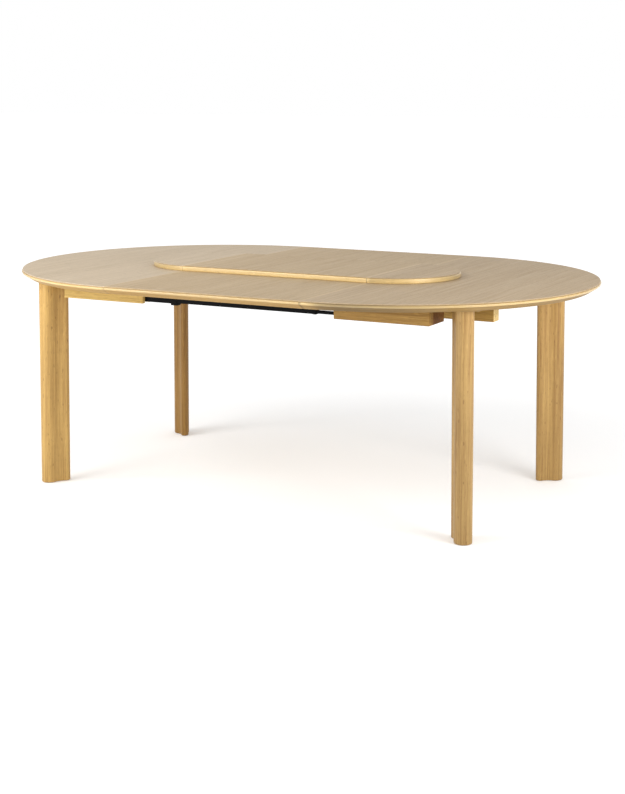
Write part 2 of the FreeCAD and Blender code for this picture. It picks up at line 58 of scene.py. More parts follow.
PLATEAU = {
    "rim": disc_high.x - SEAM, "core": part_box("plateau_leaf_lipping_back")[0].y,
    "high": disc_high.z, "low": disc_low.z, "face": 0.002,
    "nosing": 0.016, "bevel": 0.002, "upper_round": 0.003, "lower_round": 0.003, "foot_round": 0.0005,
}
OUTER_LOBE = 0.029
INNER_LOBE = 0.015
LOBE_SPACING = 0.0565
FLANK_RADIUS = 0.040
FOOT_TAPER = 0.97
FOOT_ROUND = 0.003
LEG_ANGLE = math.radians(45)
RAIL_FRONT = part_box("runner_housing_back_right")[1].y

# Corner points that lie this near count as one, and levels are told apart by so many digits
WELD = 0.00001
LEVEL_DIGITS = 5

# Widths of the softened edges, and the angles from which an edge is sharp or softened
ARRIS = {"lipping": 0.001, "panel": 0.0003, "rail": 0.0015, "plate": 0.0006, "slide": 0.0004,
         "moulding": 0.0006, "packer": 0.001}
ARRIS_STEPS = 2
SHARP_ANGLE = math.radians(35)
SOFT_ANGLE = math.radians(40)

# Steps of the smooth meshes
TURN_STEPS = 180
ROUND_STEPS = 6
LOBE_STEPS = 28
FLANK_STEPS = 14
SCREW_STEPS = 24
PAD_STEPS = 48

# Columns of an edge's faces that lie under the nosing: its flat foot, the foot's rounding and the bevel,
# which take a darker material as painted shade
UNDER_COLUMNS = ROUND_STEPS + 2

# Shares and sizes of the turned fasteners. Pairs are shares of the height and of the radius.
ROUND_SHARE = 0.95
SOCKET_SIDES = 6
SOCKET_SHARE = 0.48
SOCKET_DEPTH_SHARE = 0.6
HEAD_SHARES = ((0.0, 0.80), (0.15, 0.95), (0.40, 1.0), (1.0, 1.0))
THREAD_PITCH = 0.0025
THREAD_SHARES = ((0.5, 0.78), (0.8, 1.0))
TIP_SHARE = 0.3
PIN_CHAMFER = 0.001
PAD_ROUND = 0.0004


# Shapes

def rounded(corners):
    """Points of a polygon whose corners (x, z, radius) are rounded."""
    points = []
    for i, (x, z, radius) in enumerate(corners):
        here = Vector((x, z))
        if radius == 0:
            points.append(here)
            continue
        before = (Vector(corners[i - 1][:2]) - here).normalized()
        after = (Vector(corners[(i + 1) % len(corners)][:2]) - here).normalized()
        half = before.angle(after) / 2
        centre = here + (before + after).normalized() * radius / math.sin(half)
        first = here + before * radius / math.tan(half) - centre
        last = here + after * radius / math.tan(half) - centre
        sweep = math.pi - 2 * half
        for step in range(ROUND_STEPS + 1):
            share = step / ROUND_STEPS
            arm = first * math.sin((1 - share) * sweep) + last * math.sin(share * sweep)
            points.append(centre + arm / math.sin(sweep))
    return points


def edge_section(size):
    """Section of a solid edge: along its foot, up the bevel, round the nosing and back under the veneer."""
    rim, core, high, low = size["rim"], size["core"], size["high"], size["low"]
    inner = rim - size["upper_round"]
    return rounded([
        (core, low, 0),
        (rim - size["bevel"], low, size["foot_round"]),
        (rim, high - size["nosing"], size["lower_round"]),
        (rim, high, size["upper_round"]),
        (inner, high - size["face"], 0),
        (core, high - size["face"], 0),
    ])


def lengths(points):
    """Running length round a closed row of points."""
    total = [0.0]
    for a, b in zip(points, points[1:] + points[:1]):
        total.append(total[-1] + (b - a).length)
    return total


def swept(name, rows, along, across, lower=0):
    """Closed mesh through rows of points, with the grain along the rows and marked end edges.

    The first columns of faces, as many as lower says, take the mesh's second material.
    """
    mesh = bpy.data.meshes.new(name)
    build = bmesh.new()
    grain = build.loops.layers.uv.new("grain")
    ends = build.edges.layers.float.new("bevel_weight_edge")
    grid = [[build.verts.new(point) for point in row] for row in rows]
    count = len(rows[0])
    for i in range(len(rows) - 1):
        for j in range(count):
            k = (j + 1) % count
            face = build.faces.new((grid[i][j], grid[i + 1][j], grid[i + 1][k], grid[i][k]))
            face.material_index = 1 if j < lower else 0
            for loop, (row, column) in zip(face.loops, ((i, j), (i + 1, j), (i + 1, j + 1), (i, j + 1))):
                loop[grain].uv = (along[row], across[column])
    for row in (0, len(rows) - 1):
        cap = build.faces.new(grid[row])
        for column, loop in enumerate(cap.loops):
            loop[grain].uv = (along[row], across[column])
        for edge in cap.edges:
            edge[ends] = 1.0
    bmesh.ops.recalc_face_normals(build, faces=build.faces)
    build.to_mesh(mesh)
    build.free()
    return mesh


def half_edge(half, size):
    """Rows of an edge's section round one half of the table."""
    section = edge_section(size)
    turns = [math.pi * (step / TURN_STEPS - 0.5) for step in range(TURN_STEPS + 1)]
    rows = []
    for turn in turns:
        cos, sin = math.cos(turn), math.sin(turn)
        rows.append([(HALVES[half] * (SEAM + p.x * cos), p.x * sin, p.y) for p in section])
    return rows, [turn * size["rim"] for turn in turns], lengths(section)


def leaf_edge(side, size):
    """Rows of an edge's section along one side of the leaf."""
    section = edge_section(size)
    ends = (-LEAF_END, LEAF_END)
    rows = [[(x, SIDES[side] * p.x, p.y) for p in section] for x in ends]
    return rows, ends, lengths(section)


def arc(centre, radius, start, end, steps):
    """Points along an arc, without its last one."""
    turns = [start + (end - start) * step / steps for step in range(steps)]
    return [centre + radius * Vector((math.cos(turn), math.sin(turn))) for turn in turns]


def bearing(start, end):
    """Direction from one point to another, as an angle."""
    return math.atan2(end.y - start.y, end.x - start.x)


def lobed(share, inset):
    """Leg section: a large and a small lobe joined by hollow flanks."""
    outer = OUTER_LOBE * share - inset
    inner = INNER_LOBE * share - inset
    flank = FLANK_RADIUS * share + inset
    apart = LOBE_SPACING * share
    reach = ((outer + flank) ** 2 - (inner + flank) ** 2 + apart ** 2) / (2 * apart)
    rise = math.sqrt((outer + flank) ** 2 - reach ** 2)
    big, small = Vector((apart / 2, 0)), Vector((-apart / 2, 0))
    upper, lower = big + Vector((-reach, rise)), big + Vector((-reach, -rise))
    big_turn, small_turn = bearing(big, upper), bearing(small, upper)
    points = arc(big, outer, -big_turn, big_turn, LOBE_STEPS)
    points += arc(upper, flank, bearing(upper, big), bearing(upper, small), FLANK_STEPS)
    points += arc(small, inner, small_turn, 2 * math.pi - small_turn, LOBE_STEPS)
    points += arc(lower, flank, bearing(lower, small), bearing(lower, big), FLANK_STEPS)
    return points


def leg_rows(half, side):
    """Rows of the leg's section from its rounded foot to its top."""
    low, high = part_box(f"leg_{side}_{half}")
    x_sign, y_sign = HALVES[half], SIDES[side]
    out = Vector((x_sign * math.cos(LEG_ANGLE), y_sign * math.sin(LEG_ANGLE)))
    sideways = Vector((-out.y, out.x))
    edge = Vector((high.x if x_sign > 0 else low.x, high.y if y_sign > 0 else low.y))
    middle = edge - Vector((x_sign, y_sign)) * OUTER_LOBE - out * LOBE_SPACING / 2
    levels = []
    for step in range(ROUND_STEPS + 1):
        turn = math.pi / 2 * step / ROUND_STEPS
        levels.append((low.z + FOOT_ROUND * (1 - math.cos(turn)), FOOT_ROUND * (1 - math.sin(turn))))
    levels.append((high.z, 0.0))
    rows = []
    for z, inset in levels:
        share = FOOT_TAPER + (1 - FOOT_TAPER) * (z - low.z) / (high.z - low.z)
        flat = [middle + out * p.x + sideways * p.y for p in lobed(share, inset)]
        rows.append([(p.x, p.y, z) for p in flat])
    return rows, [z for z, inset in levels], lengths(lobed(1, 0))


def loose_parts(node):
    """Corner points of each loose solid in a node."""
    build = bmesh.new()
    build.from_mesh(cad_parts[node].data)
    bmesh.ops.remove_doubles(build, verts=build.verts, dist=WELD)
    parts, seen = [], set()
    for start in build.verts:
        if start in seen:
            continue
        seen.add(start)
        reached = [start]
        for vert in reached:
            for edge in vert.link_edges:
                other = edge.other_vert(vert)
                if other not in seen:
                    seen.add(other)
                    reached.append(other)
        parts.append([vert.co.copy() for vert in reached])
    build.free()
    return parts


def ring(centre, axis, at, radius, steps, sides=0):
    """Ring of points about an axis, round or with flat sides."""
    first = Vector((axis.y, axis.z, axis.x))
    second = axis.cross(first)
    points = []
    for step in range(steps):
        turn = 2 * math.pi * step / steps
        arm = radius
        if sides:
            half = math.pi / sides
            arm = radius * math.cos(half) / math.cos(turn % (2 * half) - half)
        points.append(centre + axis * at + arm * (first * math.cos(turn) + second * math.sin(turn)))
    return points


def turned(name, solids):
    """Mesh of turned solids, each given as its rings from end to end."""
    mesh = bpy.data.meshes.new(name)
    build = bmesh.new()
    for rings in solids:
        grid = [[build.verts.new(point) for point in points] for points in rings]
        for here, there in zip(grid, grid[1:]):
            for j in range(len(here)):
                k = (j + 1) % len(here)
                build.faces.new((here[j], here[k], there[k], there[j]))
        build.faces.new(grid[0])
        build.faces.new(grid[-1])
    bmesh.ops.recalc_face_normals(build, faces=build.faces)
    build.to_mesh(mesh)
    build.free()
    return mesh


def screw(corners):
    """Rings of a screw, head down, with a six-sided socket and a threaded, pointed shank."""
    middle = sum(corners, Vector()) / len(corners)
    levels = sorted({round(corner.z, LEVEL_DIGITS) for corner in corners})
    foot, seat, tip = levels[0], levels[1], levels[-1]

    def reach(level):
        return ROUND_SHARE * max((c - middle).xy.length for c in corners if abs(c.z - level) < WELD)

    head, shank, depth = reach(foot), reach(tip), seat - foot
    rows = [(foot + SOCKET_DEPTH_SHARE * depth, SOCKET_SHARE * head, SOCKET_SIDES),
            (foot, SOCKET_SHARE * head, SOCKET_SIDES)]
    rows += [(foot + rise * depth, share * head, 0) for rise, share in HEAD_SHARES]
    rows.append((seat, shank, 0))
    for turn in range(int((tip - seat) / THREAD_PITCH)):
        rows += [(seat + (turn + rise) * THREAD_PITCH, share * shank, 0) for rise, share in THREAD_SHARES]
    rows.append((tip, TIP_SHARE * shank, 0))
    base = Vector((middle.x, middle.y, 0))
    return [ring(base, Vector((0, 0, 1)), at, radius, SCREW_STEPS, sides) for at, radius, sides in rows]


def pin(corners):
    """Rings of a round pin along the table with chamfered ends."""
    middle = sum(corners, Vector()) / len(corners)
    start, end = min(c.x for c in corners), max(c.x for c in corners)
    radius = ROUND_SHARE * max((c - middle).yz.length for c in corners)
    slim = radius - PIN_CHAMFER
    rows = ((start, slim), (start + PIN_CHAMFER, radius), (end - PIN_CHAMFER, radius), (end, slim))
    base = Vector((0, middle.y, middle.z))
    return [ring(base, Vector((1, 0, 0)), at, size, SCREW_STEPS) for at, size in rows]


def pad(corners):
    """Rings of a round felt pad with softened edges."""
    middle = sum(corners, Vector()) / len(corners)
    low, high = min(c.z for c in corners), max(c.z for c in corners)
    radius = max(c.x for c in corners) - middle.x
    slim = radius - PAD_ROUND
    rows = ((low, slim), (low + PAD_ROUND, radius), (high - PAD_ROUND, radius), (high, slim))
    base = Vector((middle.x, middle.y, 0))
    return [ring(base, Vector((0, 0, 1)), at, size, PAD_STEPS) for at, size in rows]


# Pieces in the frame

def place(mesh, body, node, materials, arris=0.0):
    """Show a new mesh in a node's stead, riding on the node's body."""
    piece = bpy.data.objects.new(f"dressed_{node}", mesh)
    bpy.context.scene.collection.objects.link(piece)
    for material in materials:
        mesh.materials.append(material)
    mesh.shade_smooth()
    mesh.set_sharp_from_angle(angle=SHARP_ANGLE)
    if arris:
        soft = piece.modifiers.new("arris", "BEVEL")
        soft.width = arris
        soft.segments = ARRIS_STEPS
        soft.limit_method = "WEIGHT"
    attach(piece, body)
    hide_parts(node)


def fasten(node, body, shape, material):
    """Turned pieces in the stead of a node's plain rods or discs."""
    mesh = turned(f"dressed_{node}", [shape(corners) for corners in loose_parts(node)])
    place(mesh, body, node, (material,))


def solid_edge(node, body, path, materials):
    """Swept edge in a lipping's stead. A second material, darker as painted shade, takes the columns under
    the nosing.
    """
    mesh = swept(f"dressed_{node}", *path, lower=UNDER_COLUMNS * (len(materials) - 1))
    place(mesh, body, node, materials, ARRIS["lipping"])


def dress(node, material, kind):
    """Material and softened edges for a piece that stays as the frame has it."""
    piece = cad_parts[node]
    piece.data.materials.clear()
    piece.data.materials.append(material)
    weld = piece.modifiers.new("weld", "WELD")
    weld.merge_threshold = WELD
    soft = piece.modifiers.new("soft", "BEVEL")
    soft.width = ARRIS[kind]
    soft.segments = ARRIS_STEPS
    soft.limit_method = "ANGLE"
    soft.angle_limit = SOFT_ANGLE


# Materials

class Shader:
    """A material's node tree with short calls for the nodes that it needs."""

    def __init__(self, name):
        self.material = bpy.data.materials.new(name)
        self.material.use_nodes = True
        self.tree = self.material.node_tree
        self.surface = self.tree.nodes["Principled BSDF"]

    def add(self, kind, settings=(), inputs=()):
        """New node with its settings, and with its inputs linked or set."""
        node = self.tree.nodes.new(f"ShaderNode{kind}")
        for key, value in dict(settings).items():
            setattr(node, key, value)
        for key, value in dict(inputs).items():
            if isinstance(value, bpy.types.NodeSocket):
                self.tree.links.new(value, node.inputs[key])
            else:
                node.inputs[key].default_value = value
        return node

    def math(self, operation, first, second=0.0):
        return self.add("Math", {"operation": operation}, {0: first, 1: second}).outputs[0]

    def remap(self, value, low, high, new_low, new_high):
        return self.add("MapRange", {}, {0: value, 1: low, 2: high, 3: new_low, 4: new_high}).outputs[0]

    def axis(self, vector, name):
        return self.add("SeparateXYZ", {}, {0: vector}).outputs[name]

    def noise(self, vector, scale, detail, roughness=0.5):
        scaled = self.add("VectorMath", {"operation": "MULTIPLY"}, {0: vector, 1: scale}).outputs[0]
        return self.add("TexNoise", {}, {"Vector": scaled, "Scale": 1.0, "Detail": detail,
                                         "Roughness": roughness}).outputs["Fac"]

    def blend(self, share, first, second, mode="MIX"):
        return self.add("Mix", {"data_type": "RGBA", "blend_type": mode},
                        {0: share, 6: first, 7: second}).outputs[2]

    def finish(self, **sockets):
        """The material, with the named inputs of its surface linked or set."""
        for key, value in sockets.items():
            socket = self.surface.inputs[key.replace("_", " ")]
            if isinstance(value, bpy.types.NodeSocket):
                self.tree.links.new(value, socket)
            else:
                socket.default_value = value
        return self.material


# Textures: turns per metre along, across and through the grain, then detail and roughness
BROAD = ((0.8, 11.0, 11.0), 3.0, 0.5)
STREAK = ((2.0, 90.0, 90.0), 4.0, 0.55)
LINE = ((5.0, 260.0, 260.0), 3.0, 0.5)
PORE = ((45.0, 1100.0, 1100.0), 2.0, 0.5)
RAY = ((24.0, 210.0, 210.0), 1.0, 0.5)
FLECK = ((38.0, 120.0, 120.0), 1.0, 0.5)
GRIT_DETAIL = 3.0
WEAR_SHARE = 0.05

# Axes along, across and through the grain, for each way that it can run
AXES = {"x": ("X", "Y", "Z"), "y": ("Y", "X", "Z")}

# Values of a texture over which its effect comes in, and how much it does
FIGURE_SHARES = (0.24, 0.42, 0.34)
FIGURE_MIDDLE = 0.5
PORE_RANGE = (0.30, 0.45)
PORE_LEVEL = 0.72
RAY_RANGE = (0.62, 0.72)
RAY_LEVEL = 1.12
FLECK_RANGE = (0.68, 0.74)
FLECK_BROWN = (0.17, 0.085, 0.03, 1)
END_RANGE = (0.6, 0.9)
SEAM_RANGE = (0.002, 0.005)
SEAM_LEVEL = 1.25
NOISE_RANGE = (0.3, 0.7)
OAK_GLOSS = 0.05
OAK_BUMP = {"Strength": 0.25, "Distance": 0.0003}
COATED_GLOSS = 0.06
COATED_BUMP = {"Strength": 0.2, "Distance": 0.0002}
COAT_ROUGHNESS = 0.25


def grain_map(make, coords, grain):
    """Place along, across and through the grain, which follows an axis or the map of a swept mesh."""
    if grain not in AXES:
        return make.add("UVMap", {"uv_map": grain}).outputs[0]
    split = make.add("SeparateXYZ", {}, {0: coords["Object"]})
    ordered = [split.outputs[axis] for axis in AXES[grain]]
    return make.add("CombineXYZ", {}, dict(enumerate(ordered))).outputs[0]


def figured(make, vector, pale, deep, contrast):
    """Colour of the wood with its streaks and lines, and the streaks by themselves."""
    layers = [make.noise(vector, *texture) for texture in (BROAD, STREAK, LINE)]
    figure = 0.0
    for layer, share in zip(layers, FIGURE_SHARES):
        figure = make.math("ADD", make.math("MULTIPLY", layer, share), figure)
    limits = (FIGURE_MIDDLE - contrast, FIGURE_MIDDLE + contrast)
    return make.blend(make.remap(figure, *limits, 0.0, 1.0), (*deep, 1), (*pale, 1)), layers[1]


def toned_along(make, colour, along, tones):
    """Colour times the tones that are given at places along the grain."""
    first, last = tones[0][0], tones[-1][0]
    ramp = make.add("ValToRGB", {}, {0: make.remap(along, first, last, 0.0, 1.0)})
    while len(ramp.color_ramp.elements) < len(tones):
        ramp.color_ramp.elements.new(0.5)
    for element, (at, level) in zip(ramp.color_ramp.elements, tones):
        element.position = (at - first) / (last - first)
        element.color = (level, level, level, 1)
    return make.blend(1.0, colour, ramp.outputs[0], "MULTIPLY")


def drifted(make, colour, coords, drift):
    """Colour that is lighter at the leaf's left end and darker at its right."""
    x = make.axis(coords["Object"], "X")
    return make.blend(1.0, colour, make.remap(x, -LEAF_END, LEAF_END, 1 + drift, 1 - drift), "MULTIPLY")


def lit_and_shaded_ends(make, colour, coords, along, tint, lit_end_band):
    """Colour with tinted ends, partly for end grain and partly as painted light and shade, apart from a lit
    band at the front of a rail's end; behind it the tint paints the leg's shadow.
    """
    endwise = make.math("ABSOLUTE", make.axis(coords["Normal"], along))
    share = make.remap(endwise, *END_RANGE, 0.0, 1.0)
    # Painted shadow of the leg on a rail's end, behind the lit band at its front
    if lit_end_band:
        y = make.math("ABSOLUTE", make.axis(coords["Object"], "Y"))
        depth = make.math("SUBTRACT", RAIL_FRONT, y)
        leg_shadow = make.remap(depth, lit_end_band, lit_end_band + SHADOW_EDGE, 0.0, 1.0)
        share = make.math("MULTIPLY", share, leg_shadow)
    return make.blend(share, colour, tint, "MULTIPLY")


def seam_lined(make, colour, coords, pale, strength):
    """Colour with a paler line along the seams of the top."""
    x = make.math("ABSOLUTE", make.axis(coords["Object"], "X"))
    away = make.math("ABSOLUTE", make.math("SUBTRACT", x, SEAM))
    line = (*[SEAM_LEVEL * value for value in pale], 1)
    return make.blend(make.remap(away, *SEAM_RANGE, strength, 0.0), colour, line)


def oak(name, pale, deep, grain, roughness, contrast=0.17, rays=0.35, tones=(), end_grain_and_light=None,
        seam_line=0.0, specular=0.5, coat=0.0, flecks=0.0, drift=0.0, lit_end_band=0.0):
    """Oak whose streaks, lines, pores and rays run along its grain.

    grain is an axis of the table, or the name of the map that a swept mesh carries. tones are places
    along the grain with the tone there, which for edges and legs is partly painted light and shade. drift
    is the share by which the leaf's colour is lighter at its left end and darker at its right.
    end_grain_and_light is the tint of the ends, partly end grain and partly painted light and shade, and
    lit_end_band the width of a lit band at the front of a rail's end, which the tint leaves out; behind it
    the tint paints the leg's shadow.
    """
    make = Shader(name)
    coords = make.add("TexCoord").outputs
    vector = grain_map(make, coords, grain)
    colour, streak = figured(make, vector, pale, deep, contrast)
    pore = make.noise(vector, *PORE)
    colour = make.blend(1.0, colour, make.remap(pore, *PORE_RANGE, PORE_LEVEL, 1.0), "MULTIPLY")
    ray = make.remap(make.noise(vector, *RAY), *RAY_RANGE, 0.0, rays)
    colour = make.blend(ray, colour, (*[RAY_LEVEL * value for value in pale], 1))
    if flecks:
        fleck = make.remap(make.noise(vector, *FLECK), *FLECK_RANGE, 0.0, flecks)
        colour = make.blend(fleck, colour, FLECK_BROWN)
    if tones:
        colour = toned_along(make, colour, make.axis(vector, "X"), tones)
    if drift:
        colour = drifted(make, colour, coords, drift)
    # Ends tinted for end grain and for painted light and shade
    if end_grain_and_light:
        colour = lit_and_shaded_ends(make, colour, coords, AXES[grain][0], end_grain_and_light, lit_end_band)
    if seam_line:
        colour = seam_lined(make, colour, coords, pale, seam_line)
    gloss = make.remap(streak, *NOISE_RANGE, roughness + OAK_GLOSS, roughness - OAK_GLOSS)
    bump = make.add("Bump", {}, {**OAK_BUMP, "Height": pore}).outputs[0]
    return make.finish(Base_Color=colour, Roughness=gloss, Normal=bump, Specular_IOR_Level=specular,
                       Coat_Weight=coat, Coat_Roughness=COAT_ROUGHNESS)


def coated(name, colour, roughness, metallic=0.0, speckle=0.2, scale=300.0, specular=0.5):
    """Metal, plastic or felt with a faintly uneven surface."""
    make = Shader(name)
    vector = make.add("TexCoord").outputs["Object"]
    grit = make.noise(vector, [scale] * 3, GRIT_DETAIL)
    wear = make.noise(vector, [scale * WEAR_SHARE] * 3, GRIT_DETAIL)
    dark = [value * (1 - speckle) for value in colour]
    light = [min(1.0, value * (1 + speckle)) for value in colour]
    tone = make.blend(make.remap(wear, *NOISE_RANGE, 0.0, 1.0), (*dark, 1), (*light, 1))
    rough = min(1.0, roughness + COATED_GLOSS)
    gloss = make.remap(grit, *NOISE_RANGE, roughness - COATED_GLOSS, rough)
    bump = make.add("Bump", {}, {**COATED_BUMP, "Height": grit}).outputs[0]
    return make.finish(Base_Color=tone, Roughness=gloss, Normal=bump, Metallic=metallic,
                       Specular_IOR_Level=specular)


# Wood colours, pale and deep, of each kind of piece
PALE = {"left": ((0.562, 0.450, 0.317), (0.421, 0.326, 0.211)),
        "leaf": ((0.476, 0.358, 0.213), (0.353, 0.248, 0.135)),
        "right": ((0.442, 0.332, 0.207), (0.326, 0.233, 0.132))}
GOLD = ((0.70, 0.50, 0.21), (0.43, 0.285, 0.105))
# The bevel's colours are painted shade: the lipping's wood, darker where it faces down
SHADED_BEVEL_GOLD = ((0.49, 0.315, 0.112), (0.295, 0.176, 0.053))
PLATEAU_GOLD = ((0.88, 0.65, 0.29), (0.58, 0.40, 0.155))
LEG_GOLD = ((0.495, 0.314, 0.100), (0.282, 0.155, 0.043))
# Rails of the two halves: partly the wood's own tone and partly painted light and shade, the left lit and
# the right shaded
RAIL_LIT_AND_SHADED_GOLD = {"left": ((0.63, 0.43, 0.135), (0.37, 0.225, 0.062)),
             "right": ((0.43, 0.255, 0.070), (0.24, 0.130, 0.031))}
BATTEN_GOLD = ((0.46, 0.285, 0.080), (0.26, 0.150, 0.036))

# Tones that multiply them. Board shades are places along an edge, as shares of the way from its middle to
# its end, with the tone there: partly the boards' own tone and partly painted shade. The legs' painted
# light gives heights with the tone there.
# Partly the boards' own tone and partly painted shade along the edges
BOARD_SHADES = {"left": ((-0.9, 1.08), (-0.62, 1.04), (-0.45, 0.80), (-0.25, 0.60), (0.3, 0.64)), "leaf": (),
          "right": ((-0.975, 0.95), (-0.94, 0.56), (-0.89, 0.50), (-0.74, 0.60), (-0.5, 0.95))}
PLATEAU_BOARD_SHADES = {"left": ((-0.95, 0.92), (-0.6, 0.75), (0.0, 0.55)), "leaf": (),
                  "right": ((-0.97, 0.75), (-0.75, 0.85), (-0.5, 1.0), (-0.3, 0.80), (0.0, 0.55))}
SEAM_SHADE = {"left": 0.75, "right": 0.5}
SEAM_WIDTH = 0.0025
# Painted shade on the bevels of each part, darkest on the right
BEVEL_SHADE = {"left": (0.94, 0.94, 0.97), "leaf": (0.99, 0.97, 0.95), "right": (0.81, 0.81, 0.84)}
# Lighter and darker copies of the legs' oak: painted light and shade for how each leg stands to the lamps
LEG_LIGHT_AND_SHADE = {"front_left": (1.10, 1.10, 1.08), "back_left": (0.68, 0.59, 0.43),
            "front_right": (0.84, 0.85, 0.95), "back_right": (0.92, 0.91, 0.95)}
# Painted light: the legs are lighter towards their tops, against the shade under the table top
LEG_TOP_LIGHT = ((0.0, 0.95), (0.35, 1.0), (0.47, 1.06), (0.60, 1.15), (0.70, 1.24))
DRIFT = {"left": 0.0, "leaf": 0.055, "right": 0.0}
# Tints for the ends. The dark one is partly end grain and partly painted shade, the pale one painted light
# on lit ends. A rail's end keeps its face colour in a lit band at the front; behind it, past a soft edge,
# the dark tint paints the shadow of the leg.
SHADED_END = (0.60, 0.42, 0.13, 1)
LIT_END = (1.65, 1.95, 3.0, 1)
LIT_END_BAND = 0.022
SHADOW_EDGE = 0.014

# How each kind of wood is finished
VENEER_FINISH = {"roughness": 0.55, "contrast": 0.20, "rays": 0.15, "seam_line": 0.45, "specular": 0.28}
NOSING_ROUGHNESS = 0.38
NOSING_COAT = {"left": 0.2, "leaf": 0.6, "right": 0.6}
PLATEAU_COAT = 0.6
BEVEL_FINISH = {"roughness": 0.5, "specular": 0.15}
LEG_FINISH = {"roughness": 0.45, "contrast": 0.11, "specular": 0.30, "flecks": 0.6}
RAIL_FINISH = {"roughness": 0.55, "contrast": 0.10, "specular": 0.2}


def toned(colours, tone):
    """A pair of wood colours, both shifted by the same tone, which is painted light and shade for the
    bevels and legs.
    """
    return [[level * value for level, value in zip(tone, colour)] for colour in colours]


def edge_tones(part, rim, board_shades):
    """Tones along an edge: a dark line at each seam, and between them the board shades, partly the boards'
    own tone and partly painted shade.
    """
    if part == "leaf":
        first, last, end = SEAM_SHADE["left"], SEAM_SHADE["right"], LEAF_END
    else:
        first, last, end = SEAM_SHADE[part], SEAM_SHADE[part], math.pi / 2 * rim
    inner = end - SEAM_WIDTH
    middle = [(share * end, tone) for share, tone in board_shades]
    return ((-end, first), (-inner, 1.0), *middle, (inner, 1.0), (end, last))


def edge_materials(part):
    """Nosing and bevel of a part's top edge, and the one material of its plateau edge. The bevel is painted
    shade: a darker copy of the nosing's wood.
    """
    tones = edge_tones(part, TOP["rim"], BOARD_SHADES[part])
    nosing = oak(f"nosing_{part}", *GOLD, "grain", NOSING_ROUGHNESS, tones=tones, coat=NOSING_COAT[part])
    # Painted shade: the downward bevel is a darker copy of the wood
    shaded_bevel_gold = toned(SHADED_BEVEL_GOLD, BEVEL_SHADE[part])
    bevel = oak(f"bevel_{part}", *shaded_bevel_gold, "grain", tones=tones, **BEVEL_FINISH)
    tones = edge_tones(part, PLATEAU["rim"], PLATEAU_BOARD_SHADES[part])
    plateau = oak(f"plateau_edge_{part}", *PLATEAU_GOLD, "grain", NOSING_ROUGHNESS, tones=tones,
                  coat=PLATEAU_COAT)
    return {"top": (nosing, bevel), "plateau": (plateau,)}


VENEER = {part: oak(f"veneer_{part}", *colours, "y", drift=DRIFT[part], **VENEER_FINISH)
          for part, colours in PALE.items()}
EDGE = {part: edge_materials(part) for part in PALE}
# One copy of the oak per leg, with painted light and shade
LEG = {leg: oak(f"leg_oak_{leg}", *toned(LEG_GOLD, tone), "grain", tones=LEG_TOP_LIGHT, **LEG_FINISH)
       for leg, tone in LEG_LIGHT_AND_SHADE.items()}
# Lit and shaded copies of the rails' oak, one per half
RAIL = {half: oak(f"rail_oak_{half}", *colours, "x", end_grain_and_light=SHADED_END, lit_end_band=LIT_END_BAND,
                  **RAIL_FINISH)
        for half, colours in RAIL_LIT_AND_SHADED_GOLD.items()}
# Painted light on the battens' lit ends
BATTEN = oak("batten_oak", *BATTEN_GOLD, "x", end_grain_and_light=LIT_END, **RAIL_FINISH)
BEARER = oak("bearer_oak", *BATTEN_GOLD, "y", end_grain_and_light=SHADED_END, **RAIL_FINISH)
STEEL = coated("black_coat", (0.003, 0.003, 0.0035), roughness=0.5, specular=0.06)
BRONZE = coated("brown_coat", (0.34, 0.225, 0.095), roughness=0.6, specular=0.2)
PLASTIC = coated("black_moulding", (0.004, 0.004, 0.0045), roughness=0.6, specular=0.06)
ZINC = coated("zinc_plate", (0.60, 0.60, 0.58), roughness=0.32, metallic=1.0, speckle=0.1)
FELT = coated("pressed_felt", (0.16, 0.13, 0.10), roughness=0.92, speckle=0.4, scale=900.0)


# The table's pieces

def dress_half(half):
    """One half of the table: its end of the top and of the plateau, legs, rails and fasteners."""
    body = f"{half}_half"
    for kind, size in (("top", TOP), ("plateau", PLATEAU)):
        dress(f"{kind}_{half}_panel", VENEER[half], "panel")
        solid_edge(f"{kind}_{half}_lipping", body, half_edge(half, size), EDGE[half][kind])
    for side in SIDES:
        node = f"leg_{side}_{half}"
        mesh = swept(f"dressed_{node}", *leg_rows(half, side))
        place(mesh, body, node, (LEG[f"{side}_{half}"],))
        dress(f"leg_plate_{side}_{half}", BRONZE, "plate")
        dress(f"runner_housing_{side}_{half}", RAIL[half], "rail")
        dress(f"batten_{side}_{half}", BATTEN, "rail")
    fasten(f"locating_pins_{half}", body, pin, ZINC)
    fasten(f"rail_screws_{half}", body, screw, ZINC)
    fasten(f"slide_screws_{half}", body, screw, ZINC)
    fasten(f"leg_screws_{half}", body, screw, BRONZE)
    fasten(f"foot_pads_{half}", body, pad, FELT)
    dress(f"leaf_bearer_{half}", BEARER, "rail")


def dress_leaf():
    """The leaf with its part of the plateau, and the screws of its bearers."""
    for prefix, kind, size in (("leaf", "top", TOP), ("plateau_leaf", "plateau", PLATEAU)):
        dress(f"{prefix}_panel", VENEER["leaf"], "panel")
        for side in SIDES:
            solid_edge(f"{prefix}_lipping_{side}", "leaf", leaf_edge(side, size), EDGE["leaf"][kind])
    fasten("leaf_bearer_screws", "leaf", screw, ZINC)


def dress_slide(side):
    """A telescopic slide: its three members, stop, guide and packer."""
    for member in ("outer", "middle", "inner"):
        dress(f"slide_{side}_{member}", STEEL, "slide")
    for member in ("stop", "guide"):
        dress(f"slide_{side}_{member}", PLASTIC, "moulding")
    dress(f"slide_{side}_packer", RAIL["right"], "packer")


for half in HALVES:
    dress_half(half)
dress_leaf()
for side in SIDES:
    dress_slide(side)


# Floor, light and camera

